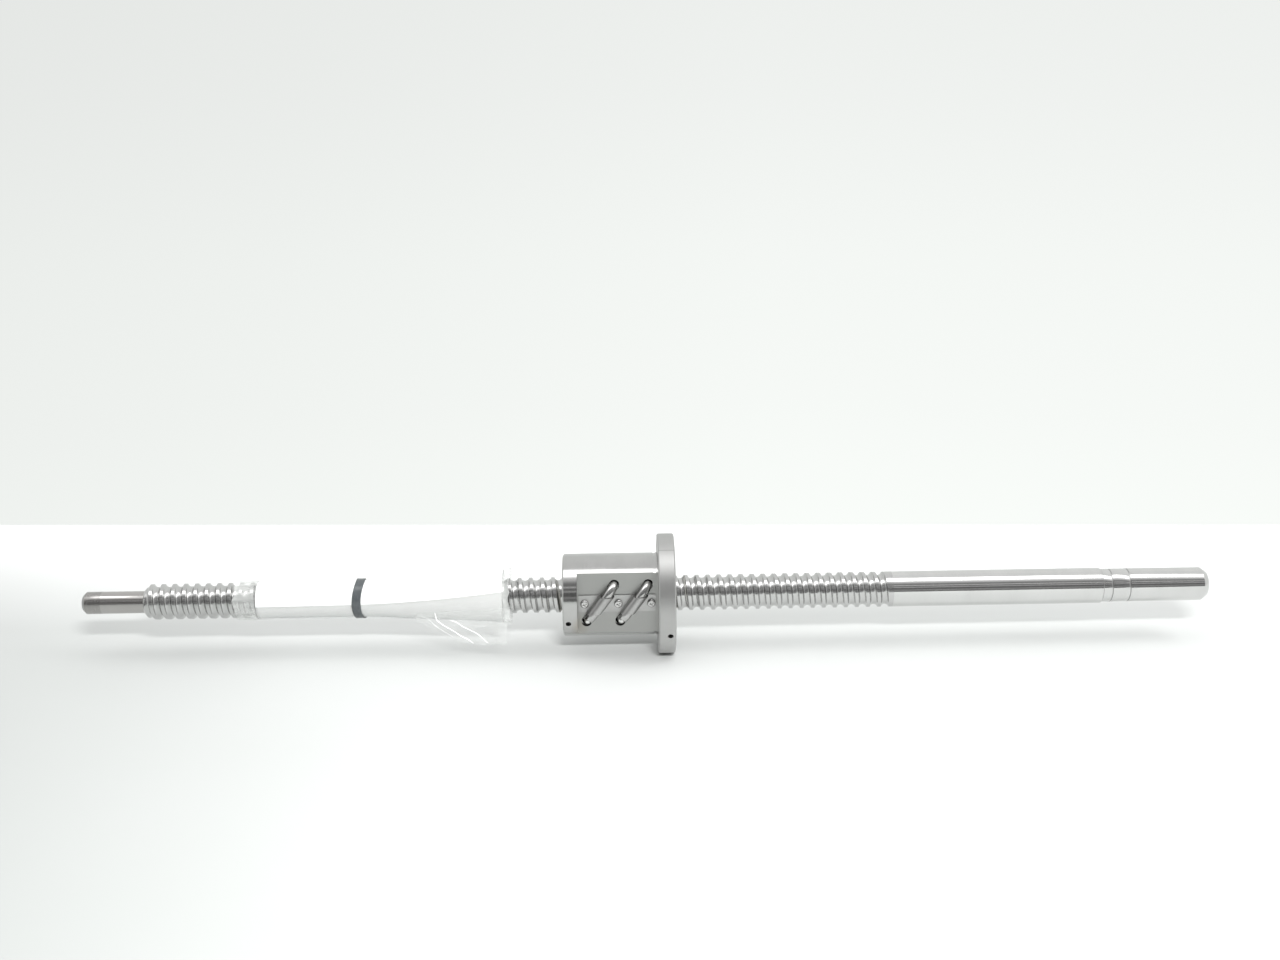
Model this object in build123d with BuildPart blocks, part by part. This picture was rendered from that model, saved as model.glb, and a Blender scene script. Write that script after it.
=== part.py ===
from build123d import *
import math
import os

# Ball screw assembly: ground screw shaft, flanged ball nut with two external
# return tubes, and the packing still tied round the thread.
# Frame: X along the screw axis, Z up, the nut's flat and return tubes face -Y.
# Origin: on the screw axis, at the seating face of the nut flange.
# Units: millimetres.

os.makedirs("parts", exist_ok=True)

# ---------------------------------------------------------------- dimensions
LEAD = 10.0                 # thread lead, right hand, single start
R_SCREW = 16.0              # thread outside radius
R_BALL = 3.175              # ball radius
R_TRACK = 16.875            # radius of the ball centre circle
R_GROOVE = 3.55             # ball groove radius in the screw
R_GROOVE_NUT = 3.45         # ball groove radius in the nut
X_PHASE = 1.0               # the groove crosses the top of the shaft at X = 1 (mod lead)

X_LEFT = -516.0             # free end of the left journal
X_SHOULDER = -460.0         # left end of the thread
X_THREAD_END = 207.0        # centre of the groove run-out
X_SHANK_END = 402.0         # end of the plain shank
X_RIGHT = 498.0             # free end of the right journal
R_LEFT = 10.0               # left journal radius
R_RIGHT = 15.0              # right journal radius
C_LEFT = 3.0                # end chamfer of the left journal
C_SHOULDER = 4.3            # chamfer on the left thread shoulder
C_SHANK = 0.8               # chamfer from shank to right journal
C_RIGHT_AX = 5.0            # right end chamfer, along the axis
C_RIGHT_RAD = 3.5           # right end chamfer, radial
X_RING_GROOVES = (410.0, 426.0)
RING_GROOVE_W = 1.0
RING_GROOVE_D = 0.3
CENTRE_DRILL_R = 2.0
CENTRE_DRILL_L = 7.0
CENTRE_CONE_R = 4.2

X_NUT = -85.0               # free end of the nut barrel
R_NUT = 37.0                # barrel radius
T_FLANGE = 15.0             # flange thickness
R_FLANGE = 54.0             # flange radius
R_BORE = 16.6               # nut bore radius between the grooves
Y_FLAT = -24.4              # flat that carries the return tubes
X_FLAT = -72.0              # the flat runs from here to the flange
R_RECESS = 22.0             # wiper counterbore radius
L_RECESS = 10.0             # wiper counterbore depth
R_PCD = 45.0                # flange bolt circle radius
R_BOLT = 4.5                # flange bolt hole radius
R_CBORE = 7.0               # counterbore radius
L_CBORE = 8.5               # counterbore depth
N_BOLT = 6
RELIEF_X = -3.0             # relief groove beside the flange
RELIEF_W = 2.0
RELIEF_D = 0.5
C_NUT = 1.2
C_FLANGE = 1.0

R_TUBE = 4.2                # return tube outside radius
R_TUBE_IN = 3.45            # return tube inside radius
Y_RUN = 30.2                # distance of the straight run from the axis
R_BEND = 10.0               # return tube bend radius, centreline
R_TUBE_HOLE = 4.4           # hole for a tube leg
R_TUBE_POCKET = 4.75        # oblong pocket at the mouth of the hole
TUBES = ((-64.0, -39.0), (-34.0, -9.0))   # X of the lower and upper leg of each tube

T_STRAP = 1.2               # clamp strap thickness
Z_STRAP = 7.75              # half width of the strap
X_STRAP0, X_STRAP1 = -71.0, -2.3
R_SADDLE_IN = 4.25
X_CLAMP = (-65.5, -35.5, -6.1)

X_SETSCREW = (-80.0, 10.0)  # wiper set screws
A_SETSCREW = 205.5          # their angle round the axis, from +Y towards +Z
A_GREASE = 30.0             # grease port angle

c_lead = LEAD / (2 * math.pi)
k_lead = math.hypot(R_TRACK, c_lead)


def ring_dir(angle):
    """Unit vector square to the axis, angle from +Y towards +Z."""
    a = math.radians(angle)
    return (0.0, math.cos(a), math.sin(a))


def radial_plane(x, angle, radius):
    """Plane at a point off the axis, facing outwards."""
    d = ring_dir(angle)
    return Plane(origin=(x, d[1] * radius, d[2] * radius), x_dir=(1, 0, 0), z_dir=d)


def track_point(x):
    """Point of the ball centre helix at axial position x."""
    a = math.radians(90.0) + (x - X_PHASE) / c_lead
    return (x, R_TRACK * math.cos(a), R_TRACK * math.sin(a))


# ---------------------------------------------------------------- screw shaft
# The thread is laid up from slices one lead long, between two end pieces.
N_SLICES = 66
X_SLICE1 = X_SHOULDER + N_SLICES * LEAD
X_RUN_IN = X_SLICE1 - 2 * LEAD + X_PHASE

with BuildPart() as thread_slice:
    with BuildSketch(Plane.YZ):
        Circle(R_SCREW)
    extrude(amount=LEAD)
    with BuildLine() as slice_helix:
        Helix(pitch=LEAD, height=3 * LEAD, radius=R_TRACK,
              center=(X_PHASE - LEAD, 0, 0), direction=(1, 0, 0))
    with BuildSketch(Plane(origin=slice_helix.line @ 0, z_dir=slice_helix.line % 0)) as slice_groove:
        Circle(R_GROOVE)
    sweep(sections=slice_groove.sketch, path=slice_helix.line, is_frenet=True,
          mode=Mode.SUBTRACT, clean=False)

# first slice, with the chamfered shoulder
with BuildPart() as shoulder_slice:
    add(thread_slice.part, clean=False)
    with BuildSketch(Plane.XZ):
        with BuildLine():
            Polyline(
                (-1, R_SCREW - C_SHOULDER - 1),
                (-1, R_SCREW + 2),
                (C_SHOULDER + 2, R_SCREW + 2),
                close=True,
            )
        make_face()
    revolve(axis=Axis.X, mode=Mode.SUBTRACT, clean=False)

with BuildPart() as left_end:
    with BuildSketch(Plane.XZ):
        with BuildLine():
            Polyline(
                (X_LEFT, 0),
                (X_LEFT, R_LEFT - C_LEFT),
                (X_LEFT + C_LEFT, R_LEFT),
                (X_SHOULDER, R_LEFT),
                (X_SHOULDER, 0),
                close=True,
            )
        make_face()
    revolve(axis=Axis.X)
    # centre drill hole for grinding between centres
    with BuildSketch(Plane.XZ):
        with BuildLine():
            Polyline(
                (X_LEFT - 1, 0),
                (X_LEFT - 1, CENTRE_CONE_R + 0.577),
                (X_LEFT + (CENTRE_CONE_R - CENTRE_DRILL_R) / 0.577, CENTRE_DRILL_R),
                (X_LEFT + CENTRE_DRILL_L, CENTRE_DRILL_R),
                (X_LEFT + CENTRE_DRILL_L + 1.2, 0),
                close=True,
            )
        make_face()
    revolve(axis=Axis.X, mode=Mode.SUBTRACT)

with BuildPart() as right_end:
    with BuildSketch(Plane.XZ):
        with BuildLine():
            Polyline(
                (X_SLICE1, 0),
                (X_SLICE1, R_SCREW),
                (X_SHANK_END - C_SHANK, R_SCREW),
                (X_SHANK_END, R_SCREW - C_SHANK),
                (X_SHANK_END, R_RIGHT),
                (X_RING_GROOVES[0] - RING_GROOVE_W / 2, R_RIGHT),
                (X_RING_GROOVES[0] - RING_GROOVE_W / 2, R_RIGHT - RING_GROOVE_D),
                (X_RING_GROOVES[0] + RING_GROOVE_W / 2, R_RIGHT - RING_GROOVE_D),
                (X_RING_GROOVES[0] + RING_GROOVE_W / 2, R_RIGHT),
                (X_RING_GROOVES[1] - RING_GROOVE_W / 2, R_RIGHT),
                (X_RING_GROOVES[1] - RING_GROOVE_W / 2, R_RIGHT - RING_GROOVE_D),
                (X_RING_GROOVES[1] + RING_GROOVE_W / 2, R_RIGHT - RING_GROOVE_D),
                (X_RING_GROOVES[1] + RING_GROOVE_W / 2, R_RIGHT),
                (X_RIGHT - C_RIGHT_AX, R_RIGHT),
                (X_RIGHT, R_RIGHT - C_RIGHT_RAD),
                (X_RIGHT, 0),
                close=True,
            )
        make_face()
    revolve(axis=Axis.X)
    with BuildSketch(Plane.XZ):
        with BuildLine():
            Polyline(
                (X_RIGHT + 1, 0),
                (X_RIGHT + 1, CENTRE_CONE_R + 0.577),
                (X_RIGHT - (CENTRE_CONE_R - CENTRE_DRILL_R) / 0.577, CENTRE_DRILL_R),
                (X_RIGHT - CENTRE_DRILL_L, CENTRE_DRILL_R),
                (X_RIGHT - CENTRE_DRILL_L - 1.2, 0),
                close=True,
            )
        make_face()
    revolve(axis=Axis.X, mode=Mode.SUBTRACT, clean=False)
    with BuildLine() as right_helix:
        Helix(pitch=LEAD, height=X_THREAD_END - X_RUN_IN, radius=R_TRACK,
              center=(X_RUN_IN, 0, 0), direction=(1, 0, 0))
    with BuildSketch(Plane(origin=right_helix.line @ 0, z_dir=right_helix.line % 0)) as right_groove:
        Circle(R_GROOVE)
    sweep(sections=right_groove.sketch, path=right_helix.line, is_frenet=True,
          mode=Mode.SUBTRACT, clean=False)
    # rounded run-out where the grinding wheel leaves the shaft
    with Locations(Location(track_point(X_THREAD_END))):
        Sphere(R_GROOVE, mode=Mode.SUBTRACT)

with BuildPart() as screw_shaft:
    with Locations(*[Location((X_SHOULDER + i * LEAD, 0, 0)) for i in range(1, N_SLICES)]):
        add(thread_slice.part, clean=False)
    with Locations(Location((X_SHOULDER, 0, 0))):
        add(shoulder_slice.part, clean=False)
    add(left_end.part, clean=False)
    add(right_end.part, clean=False)
screw_shaft.part.label = "screw_shaft"
export_step(screw_shaft.part, "parts/screw_shaft.step")


# ---------------------------------------------------------------- return tube planes
def tube_plane(x_low, x_high):
    """Plane that holds a return tube: local X along the run, local Y outwards."""
    length = math.hypot(x_high - x_low, 2 * R_TRACK)
    dx, dz = (x_high - x_low) / length, 2 * R_TRACK / length
    return Plane(origin=((x_low + x_high) / 2, 0, 0), x_dir=(dx, 0, dz), z_dir=(dz, 0, -dx))


def half_span(x_low, x_high):
    return math.hypot(x_high - x_low, 2 * R_TRACK) / 2


# ---------------------------------------------------------------- nut body
R_CORE = 24.0               # the grooved bore is laid up from slices inside this radius
X_CORE0 = X_NUT + L_RECESS
N_CORE = round((T_FLANGE - L_RECESS - X_CORE0) / LEAD)

with BuildPart() as bore_slice:
    with BuildSketch(Plane.YZ):
        Circle(R_CORE)
        Circle(R_BORE, mode=Mode.SUBTRACT)
    extrude(amount=LEAD)
    with BuildLine() as bore_helix:
        Helix(pitch=LEAD, height=3 * LEAD, radius=R_TRACK,
              center=(X_PHASE - LEAD, 0, 0), direction=(1, 0, 0))
    with BuildSketch(Plane(origin=bore_helix.line @ 0, z_dir=bore_helix.line % 0)) as bore_groove:
        Circle(R_GROOVE_NUT)
    sweep(sections=bore_groove.sketch, path=bore_helix.line, is_frenet=True,
          mode=Mode.SUBTRACT, clean=False)

# the bore starts half a lead out of step with the slice, so each slice is turned half round
with BuildPart() as nut_body:
    with BuildSketch(Plane.XZ):
        with BuildLine():
            Polyline(
                (X_NUT, R_RECESS),
                (X_NUT, R_NUT - C_NUT),
                (X_NUT + C_NUT, R_NUT),
                (RELIEF_X - RELIEF_W / 2, R_NUT),
                (RELIEF_X - RELIEF_W / 2, R_NUT - RELIEF_D),
                (RELIEF_X + RELIEF_W / 2, R_NUT - RELIEF_D),
                (RELIEF_X + RELIEF_W / 2, R_NUT),
                (0, R_NUT),
                (0, R_FLANGE - C_FLANGE),
                (C_FLANGE, R_FLANGE),
                (T_FLANGE - C_FLANGE, R_FLANGE),
                (T_FLANGE, R_FLANGE - C_FLANGE),
                (T_FLANGE, R_RECESS),
                (T_FLANGE - L_RECESS, R_RECESS),
                (T_FLANGE - L_RECESS, R_CORE),
                (X_CORE0, R_CORE),
                (X_CORE0, R_RECESS),
                close=True,
            )
        make_face()
    revolve(axis=Axis.X)
    with Locations(*[Location((X_CORE0 + i * LEAD, 0, 0), (180, 0, 0)) for i in range(N_CORE)]):
        add(bore_slice.part, clean=False)
    # flat that carries the return tubes
    with BuildSketch(Plane(origin=(0, Y_FLAT, 0), x_dir=(1, 0, 0), z_dir=(0, -1, 0))):
        with Locations((X_FLAT / 2, 0)):
            Rectangle(-X_FLAT, 2 * R_NUT)
    extrude(amount=20, mode=Mode.SUBTRACT, clean=False)
    # flange bolt holes, counterbored from the outer face
    with BuildSketch(Plane.YZ.offset(-1)):
        with PolarLocations(R_PCD, N_BOLT):
            Circle(R_BOLT)
    extrude(amount=T_FLANGE + 2, mode=Mode.SUBTRACT, clean=False)
    with BuildSketch(Plane.YZ.offset(T_FLANGE - L_CBORE)):
        with PolarLocations(R_PCD, N_BOLT):
            Circle(R_CBORE)
    extrude(amount=L_CBORE + 1, mode=Mode.SUBTRACT, clean=False)
    # holes and mouth pockets for the return tube legs
    for x_low, x_high in TUBES:
        span = half_span(x_low, x_high)
        with BuildSketch(Plane(origin=(0, 0, 0), x_dir=(1, 0, 0), z_dir=(0, -1, 0))):
            with Locations((x_low, -R_TRACK), (x_high, R_TRACK)):
                Circle(R_TUBE_HOLE)
        extrude(amount=40, mode=Mode.SUBTRACT, clean=False)
        ux, uz = (x_high - x_low) / (2 * span), R_TRACK / span
        lean = math.degrees(math.atan2(uz, ux))
        with BuildSketch(Plane(origin=(0, Y_FLAT + 5.0, 0), x_dir=(1, 0, 0), z_dir=(0, -1, 0))):
            with Locations(Location((x_low + ux * 1.3, -R_TRACK + uz * 1.3), lean),
                           Location((x_high - ux * 1.3, R_TRACK - uz * 1.3), lean)):
                SlotCenterToCenter(2.6, 2 * R_TUBE_POCKET)
        extrude(amount=20, mode=Mode.SUBTRACT, clean=False)
    # tapped holes for the clamp screws
    with BuildSketch(Plane(origin=(0, Y_FLAT, 0), x_dir=(1, 0, 0), z_dir=(0, -1, 0))):
        with Locations(*[(x, 0) for x in X_CLAMP]):
            Circle(2.0)
    extrude(amount=-(abs(Y_FLAT) - R_TRACK - R_GROOVE_NUT - 0.4), mode=Mode.SUBTRACT, clean=False)
    # radial holes for the wiper set screws
    with BuildSketch(radial_plane(X_SETSCREW[0], A_SETSCREW, R_RECESS - 1)):
        Circle(2.5)
    extrude(amount=20, mode=Mode.SUBTRACT, clean=False)
    with BuildSketch(radial_plane(X_SETSCREW[1], A_SETSCREW, R_RECESS - 1)):
        Circle(2.5)
    extrude(amount=40, mode=Mode.SUBTRACT, clean=False)
    # grease port, tapped M6 at the rim and drilled on into the bore
    with BuildSketch(radial_plane(4.6, A_GREASE, R_FLANGE - 12)):
        Circle(3.0)
    extrude(amount=20, mode=Mode.SUBTRACT, clean=False)
    with BuildSketch(radial_plane(4.6, A_GREASE, R_BORE - 1)):
        Circle(1.4)
    extrude(amount=40, mode=Mode.SUBTRACT, clean=False)
nut_body.part.label = "nut_body"
export_step(nut_body.part, "parts/nut_body.step")

# ---------------------------------------------------------------- return tubes
tube_names = ("return_tube_1", "return_tube_2")
for name, (x_low, x_high) in zip(tube_names, TUBES):
    span = half_span(x_low, x_high)
    with BuildPart() as return_tube:
        with BuildLine(tube_plane(x_low, x_high)) as tube_path:
            FilletPolyline((-span, 0.2), (-span, Y_RUN), (span, Y_RUN), (span, 0.2), radius=R_BEND)
        with BuildSketch(Plane(origin=(x_low, -0.2, -R_TRACK), z_dir=(0, -1, 0))) as tube_section:
            Circle(R_TUBE)
        sweep(sections=tube_section.sketch, path=tube_path.line)
        with BuildSketch(Plane(origin=(x_low, -0.2, -R_TRACK), z_dir=(0, -1, 0))) as tube_inside:
            Circle(R_TUBE_IN)
        sweep(sections=tube_inside.sketch, path=tube_path.line, mode=Mode.SUBTRACT)
        # the scoop ends clear the bore
        with BuildSketch(Plane.YZ.offset(X_NUT)):
            Circle(R_BORE)
        extrude(amount=100, mode=Mode.SUBTRACT)
    return_tube.part.label = name
    export_step(return_tube.part, "parts/" + name + ".step")

# ---------------------------------------------------------------- clamp strap
with BuildPart() as tube_clamp_strap:
    with BuildSketch(Plane(origin=(0, Y_FLAT, 0), x_dir=(1, 0, 0), z_dir=(0, -1, 0))):
        with Locations(((X_STRAP0 + X_STRAP1) / 2, 0)):
            RectangleRounded(X_STRAP1 - X_STRAP0, 2 * Z_STRAP, 1.2)
    extrude(amount=T_STRAP)
    for x_low, x_high in TUBES:
        span = half_span(x_low, x_high)
        dx, dz = (x_high - x_low) / (2 * span), R_TRACK / span
        xm = (x_low + x_high) / 2
        # section square to the tube: local X across the tube, local Y outwards
        across = Plane(origin=(xm, 0, 0), x_dir=(dz, 0, -dx), z_dir=(-dx, 0, -dz))
        r_out = R_SADDLE_IN + T_STRAP
        with BuildSketch(across) as saddle_out:
            with Locations((0, Y_RUN)):
                Circle(r_out)
            with Locations((0, (Y_RUN + abs(Y_FLAT)) / 2)):
                Rectangle(2 * r_out, Y_RUN - abs(Y_FLAT))
        extrude(amount=16, both=True)
    for x_low, x_high in TUBES:
        span = half_span(x_low, x_high)
        dx, dz = (x_high - x_low) / (2 * span), R_TRACK / span
        xm = (x_low + x_high) / 2
        across = Plane(origin=(xm, 0, 0), x_dir=(dz, 0, -dx), z_dir=(-dx, 0, -dz))
        with BuildSketch(across) as saddle_in:
            with Locations((0, Y_RUN)):
                Circle(R_SADDLE_IN)
            with Locations((0, (Y_RUN + abs(Y_FLAT)) / 2 - 0.5)):
                Rectangle(2 * R_SADDLE_IN, Y_RUN - abs(Y_FLAT) + 1.0)
        extrude(amount=20, both=True, mode=Mode.SUBTRACT)
    # trimmed to the strap width
    with BuildSketch(Plane(origin=(0, Y_FLAT + 2, 0), x_dir=(1, 0, 0), z_dir=(0, -1, 0))):
        with Locations(((X_STRAP0 + X_STRAP1) / 2, 0)):
            Rectangle(X_STRAP1 - X_STRAP0 + 2, 2 * Z_STRAP)
    extrude(amount=20, mode=Mode.INTERSECT)
    with BuildSketch(Plane(origin=(0, Y_FLAT + 1, 0), x_dir=(1, 0, 0), z_dir=(0, -1, 0))):
        with Locations(*[(x, 0) for x in X_CLAMP]):
            Circle(2.05)
    extrude(amount=4, mode=Mode.SUBTRACT)
tube_clamp_strap.part.label = "tube_clamp_strap"
export_step(tube_clamp_strap.part, "parts/tube_clamp_strap.step")

# ---------------------------------------------------------------- clamp screws
Y_HEAD = Y_FLAT - T_STRAP          # seat of the screw heads
R_HEAD = 3.75
H_HEAD = 2.5
screw_names = ("clamp_screw_left", "clamp_screw_middle", "clamp_screw_right")
for name, x_screw in zip(screw_names, X_CLAMP):
    with BuildPart() as clamp_screw:
        with BuildSketch(Plane(origin=(x_screw, Y_HEAD, 0), x_dir=(1, 0, 0), z_dir=(0, -1, 0))):
            Circle(R_HEAD)
        extrude(amount=H_HEAD)
        fillet(clamp_screw.edges().group_by(Axis.Y)[0], radius=1.5)
        with BuildSketch(Plane(origin=(x_screw, Y_HEAD, 0), x_dir=(1, 0, 0), z_dir=(0, -1, 0))):
            Circle(1.95)
        extrude(amount=-(T_STRAP + 3.2))
        # cross recess
        with BuildSketch(Plane(origin=(x_screw, Y_HEAD - H_HEAD - 0.1, 0), x_dir=(1, 0, 0), z_dir=(0, -1, 0))):
            Rectangle(3.8, 0.9, rotation=20)
            Rectangle(0.9, 3.8, rotation=20)
            Circle(0.95)
        extrude(amount=-1.6, mode=Mode.SUBTRACT)
    clamp_screw.part.label = name
    export_step(clamp_screw.part, "parts/" + name + ".step")


# ---------------------------------------------------------------- balls
def circuit_points(x_low, x_high):
    """Ball centres round one closed circuit: loaded turns, then the return tube."""
    span = half_span(x_low, x_high)
    dx, dz = (x_high - x_low) / (2 * span), R_TRACK / span
    xm = (x_low + x_high) / 2
    turns = 2.5
    l_helix = turns * 2 * math.pi * k_lead
    l_leg = Y_RUN - R_BEND
    l_arc = math.pi / 2 * R_BEND
    l_run = 2 * (span - R_BEND)
    total = l_helix + 2 * l_leg + 2 * l_arc + l_run
    count = int(total / (2 * R_BALL + 0.12))
    loaded, returning = [], []

    def on_tube(s):
        # s runs from the upper leg's foot to the lower leg's foot
        if s < l_leg:
            u, v = span, s
        elif s < l_leg + l_arc:
            a = (s - l_leg) / R_BEND
            u, v = span - R_BEND + R_BEND * math.cos(a), l_leg + R_BEND * math.sin(a)
        elif s < l_leg + l_arc + l_run:
            u, v = span - R_BEND - (s - l_leg - l_arc), Y_RUN
        elif s < l_leg + 2 * l_arc + l_run:
            a = (s - l_leg - l_arc - l_run) / R_BEND
            u, v = -(span - R_BEND) - R_BEND * math.sin(a), l_leg + R_BEND * math.cos(a)
        else:
            u, v = -span, l_leg - (s - l_leg - 2 * l_arc - l_run)
        return (xm + u * dx, -v, u * dz)

    for i in range(count):
        s = total * i / count
        if s < l_helix:
            loaded.append(track_point(x_low + s / l_helix * (x_high - x_low)))
        else:
            returning.append(on_tube(s - l_helix))
    return loaded, returning


for index, (x_low, x_high) in enumerate(TUBES, start=1):
    loaded, returning = circuit_points(x_low, x_high)
    with BuildPart() as loaded_balls:
        with Locations(*[Location(p) for p in loaded]):
            Sphere(R_BALL)
    loaded_balls.part.label = "loaded_balls_" + str(index)
    export_step(loaded_balls.part, "parts/loaded_balls_" + str(index) + ".step")
    with BuildPart() as return_balls:
        with Locations(*[Location(p) for p in returning]):
            Sphere(R_BALL)
    return_balls.part.label = "return_balls_" + str(index)
    export_step(return_balls.part, "parts/return_balls_" + str(index) + ".step")

# ---------------------------------------------------------------- wipers
WIPER_L = 9.4
R_WIPER = 21.9
R_WIPER_BORE = 16.5
for name, x_wiper in (("wiper_left", X_SETSCREW[0] - WIPER_L / 2), ("wiper_right", X_SETSCREW[1] - WIPER_L / 2)):
    with BuildPart() as wiper:
        with BuildSketch(Plane.YZ.offset(x_wiper)):
            Circle(R_WIPER)
            Circle(R_WIPER_BORE, mode=Mode.SUBTRACT)
        extrude(amount=WIPER_L)
        # spot recess for the set screw point
        with BuildSketch(radial_plane(x_wiper + WIPER_L / 2, A_SETSCREW, R_WIPER - 1.0)):
            Circle(2.7)
        extrude(amount=3, mode=Mode.SUBTRACT)
        # saw cut that lets the ring close on the thread
        with BuildSketch(radial_plane(x_wiper + WIPER_L / 2, A_SETSCREW + 180, R_WIPER_BORE - 1)):
            Rectangle(WIPER_L + 2, 1.0)
        extrude(amount=10, mode=Mode.SUBTRACT)
    wiper.part.label = name
    export_step(wiper.part, "parts/" + name + ".step")

# ---------------------------------------------------------------- set screws
SET_L = 8.0
for name, x_set, r_tip in (
    ("wiper_set_screw_left", X_SETSCREW[0], R_WIPER - 0.9),
    ("wiper_set_screw_right", X_SETSCREW[1], R_WIPER - 0.9),
):
    length = 13.5 if x_set < 0 else 20.0
    with BuildPart() as set_screw:
        with BuildSketch(radial_plane(x_set, A_SETSCREW, r_tip)):
            Circle(2.45)
        extrude(amount=length)
        with BuildSketch(radial_plane(x_set, A_SETSCREW, r_tip + length - 2.5)):
            RegularPolygon(radius=1.25, side_count=6, major_radius=False)
        extrude(amount=3, mode=Mode.SUBTRACT)
    set_screw.part.label = name
    export_step(set_screw.part, "parts/" + name + ".step")

# ---------------------------------------------------------------- packing on the thread
X_SHEET0, X_BAND, X_SHEET1 = -359.0, -269.4, -139.0
X_BAG0, X_BAG1 = -378.0, -132.0
R_SHEET_IN = 16.4           # tight part of the roll
R_SHEET_MOUTH = 24.2        # outside radius at the open mouth
T_SHEET = 0.5
T_FILM = 0.35
BAND_W = 8.1

with BuildPart() as inspection_sheet:
    with BuildSketch(Plane.XZ):
        with BuildLine():
            Polyline(
                (X_SHEET0, R_SHEET_IN),
                (X_SHEET0, R_SHEET_IN + T_SHEET),
                (X_BAND + 8, R_SHEET_IN + T_SHEET),
                (X_SHEET1, R_SHEET_MOUTH),
                (X_SHEET1, R_SHEET_MOUTH - T_SHEET),
                (X_BAND + 8, R_SHEET_IN),
                close=True,
            )
        make_face()
    revolve(axis=Axis.X)
inspection_sheet.part.label = "inspection_sheet"
export_step(inspection_sheet.part, "parts/inspection_sheet.step")

r_film = R_SHEET_IN + T_SHEET + 0.05
with BuildPart() as film_bag:
    with BuildSketch(Plane.XZ):
        with BuildLine():
            Polyline(
                (X_BAG0, R_SHEET_IN + 0.1),
                (X_BAG0, R_SHEET_IN + 0.1 + T_FILM),
                (X_SHEET0 - 6, r_film + T_FILM),
                (X_BAND + 8, r_film + T_FILM),
                (X_SHEET1, R_SHEET_MOUTH + 0.15 + T_FILM),
                (X_BAG1, R_SHEET_MOUTH + 0.5 + T_FILM),
                (X_BAG1, R_SHEET_MOUTH + 0.5),
                (X_SHEET1, R_SHEET_MOUTH + 0.15),
                (X_BAND + 8, r_film),
                (X_SHEET0 - 6, r_film),
                close=True,
            )
        make_face()
    revolve(axis=Axis.X)
film_bag.part.label = "film_bag"
export_step(film_bag.part, "parts/film_bag.step")

r_band = r_film + T_FILM + 0.05
with BuildPart() as retaining_band:
    with BuildSketch(Plane.YZ.offset(X_BAND - BAND_W / 2)):
        Circle(r_band + 0.6)
        Circle(r_band, mode=Mode.SUBTRACT)
    extrude(amount=BAND_W)
retaining_band.part.label = "retaining_band"
export_step(retaining_band.part, "parts/retaining_band.step")

# loose end of the bag, gathered and lying low in front of the mouth
with BuildPart() as film_tail:
    with BuildSketch(Plane.YZ.offset(-214.0)):
        with BuildLine():
            Polyline((-20.5, -12.0), (-27.0, -17.0), (-30.0, -36.0), (-22.0, -40.0), (-13.5, -23.5), close=True)
        make_face()
    with BuildSketch(Plane.YZ.offset(-135.0)):
        with BuildLine():
            Polyline((-24.8, -13.0), (-34.0, -20.0), (-40.0, -48.0), (-24.0, -50.0), (-14.0, -26.0), close=True)
        make_face()
    loft()
film_tail.part.label = "film_tail"
export_step(film_tail.part, "parts/film_tail.step")
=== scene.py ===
import math
import bpy
import bmesh
from mathutils import Matrix, Vector, noise


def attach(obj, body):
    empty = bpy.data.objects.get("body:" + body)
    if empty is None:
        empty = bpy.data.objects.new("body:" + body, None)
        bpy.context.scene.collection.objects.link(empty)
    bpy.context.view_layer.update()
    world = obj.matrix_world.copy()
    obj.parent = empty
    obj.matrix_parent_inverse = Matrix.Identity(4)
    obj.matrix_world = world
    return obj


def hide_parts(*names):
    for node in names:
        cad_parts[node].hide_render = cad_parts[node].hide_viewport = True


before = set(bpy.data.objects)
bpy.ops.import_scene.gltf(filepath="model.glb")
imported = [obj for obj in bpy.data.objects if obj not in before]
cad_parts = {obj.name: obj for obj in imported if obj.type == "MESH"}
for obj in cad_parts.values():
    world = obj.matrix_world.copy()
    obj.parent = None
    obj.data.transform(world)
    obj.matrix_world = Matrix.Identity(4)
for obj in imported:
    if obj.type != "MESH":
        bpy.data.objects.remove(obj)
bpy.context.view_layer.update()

MM = 0.001
scene = bpy.context.scene
scene.view_settings.view_transform = "Standard"
scene.view_settings.look = "None"
scene.view_settings.exposure = 0.0

# ------------------------------------------------------------------ camera
cam_data = bpy.data.cameras.new("camera")
cam_data.lens = 40.76
cam_data.sensor_width = 36.0
cam_data.clip_start = 0.01
cam_data.clip_end = 50.0
cam = bpy.data.objects.new("camera", cam_data)
scene.collection.objects.link(cam)
yaw, pitch, roll = math.radians(-0.919), math.radians(14.906), math.radians(-0.704)
fwd = Vector((-math.sin(yaw) * math.cos(pitch), math.cos(yaw) * math.cos(pitch), -math.sin(pitch)))
right = Vector((math.cos(yaw), math.sin(yaw), 0))
up = right.cross(fwd)
r2 = right * math.cos(roll) + up * math.sin(roll)
u2 = up * math.cos(roll) - right * math.sin(roll)
rot = Matrix((r2, u2, -fwd)).transposed()
cam.matrix_world = Matrix.Translation((-0.03447, -1.24146, 0.43665)) @ rot.to_4x4()
scene.camera = cam


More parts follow.
